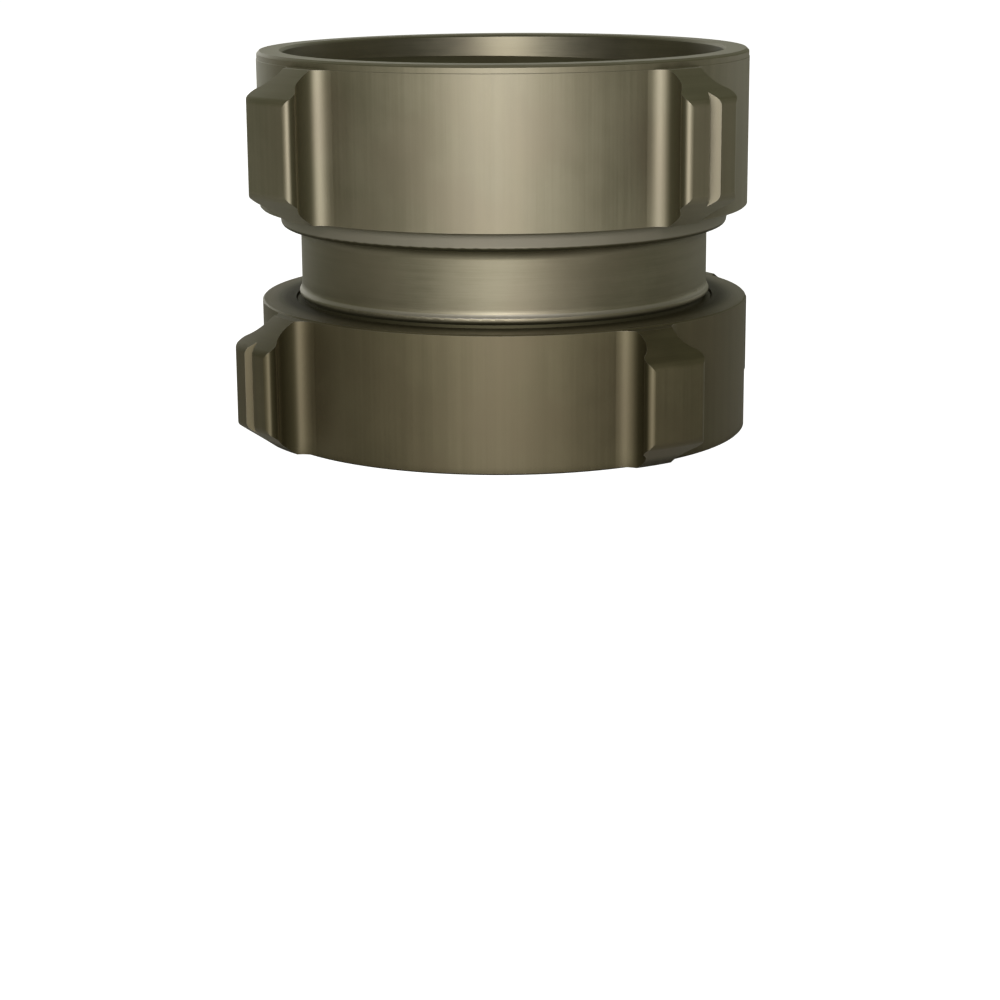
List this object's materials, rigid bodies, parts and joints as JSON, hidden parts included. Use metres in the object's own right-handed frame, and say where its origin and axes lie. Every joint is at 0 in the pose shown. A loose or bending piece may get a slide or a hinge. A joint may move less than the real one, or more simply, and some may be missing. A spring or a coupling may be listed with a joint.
{
  "type": "fire hose adapter",
  "caption": "Double female hose adapter: a lugged rigid threaded end and a lugged threaded end that swivels on a ball race, joined by a short neck.",
  "frame": {"origin": "on the axis of the waterway, in the plane of the swivel's mouth, on which the adapter stands", "axes": "+Z along the waterway, from the swivel's mouth to the rigid mouth; +X through the notched lug of the rigid ring"},
  "size_m": [0.172, 0.172, 0.1107],
  "materials": {
    "body_alloy": "dark olive hard anodised, satin",
    "swivel_alloy": "dark olive hard anodised, satin",
    "gasket_rubber": "matt black",
    "ball_steel": "ground stainless",
    "plug_steel": "stainless"
  },
  "bodies": {
    "adapter": {"adapter_body": "body_alloy", "rigid_gasket": "gasket_rubber"},
    "swivel": {"swivel_ring": "swivel_alloy", "swivel_gasket": "gasket_rubber", "ball_plug": "plug_steel"},
    "ball_train": {"bearing_ball_01": "ball_steel", "bearing_ball_02": "ball_steel", "bearing_ball_03": "ball_steel", "bearing_ball_04": "ball_steel", "bearing_ball_05": "ball_steel", "bearing_ball_06": "ball_steel", "bearing_ball_07": "ball_steel", "bearing_ball_08": "ball_steel", "bearing_ball_09": "ball_steel", "bearing_ball_10": "ball_steel", "bearing_ball_11": "ball_steel", "bearing_ball_12": "ball_steel", "bearing_ball_13": "ball_steel", "bearing_ball_14": "ball_steel", "bearing_ball_15": "ball_steel", "bearing_ball_16": "ball_steel", "bearing_ball_17": "ball_steel", "bearing_ball_18": "ball_steel", "bearing_ball_19": "ball_steel", "bearing_ball_20": "ball_steel", "bearing_ball_21": "ball_steel", "bearing_ball_22": "ball_steel", "bearing_ball_23": "ball_steel", "bearing_ball_24": "ball_steel", "bearing_ball_25": "ball_steel", "bearing_ball_26": "ball_steel", "bearing_ball_27": "ball_steel", "bearing_ball_28": "ball_steel", "bearing_ball_29": "ball_steel", "bearing_ball_30": "ball_steel", "bearing_ball_31": "ball_steel", "bearing_ball_32": "ball_steel", "bearing_ball_33": "ball_steel", "bearing_ball_34": "ball_steel", "bearing_ball_35": "ball_steel", "bearing_ball_36": "ball_steel", "bearing_ball_37": "ball_steel", "bearing_ball_38": "ball_steel", "bearing_ball_39": "ball_steel", "bearing_ball_40": "ball_steel", "bearing_ball_41": "ball_steel", "bearing_ball_42": "ball_steel", "bearing_ball_43": "ball_steel", "bearing_ball_44": "ball_steel", "bearing_ball_45": "ball_steel", "bearing_ball_46": "ball_steel", "bearing_ball_47": "ball_steel", "bearing_ball_48": "ball_steel"}
  },
  "joints": [
    {"name": "swivel_turn", "type": "hinge", "parent": "adapter", "child": "swivel", "pos_m": [0, 0, 0.03265], "axis": [0, 0, 1], "continuous": true},
    {"name": "ball_train_turn", "type": "hinge", "parent": "adapter", "child": "ball_train", "pos_m": [0, 0, 0.03265], "axis": [0, 0, 1], "continuous": true}
  ],
  "couplings": [
    {"joint": "ball_train_turn", "follows": "swivel_turn", "ratio": 0.53}
  ]
}
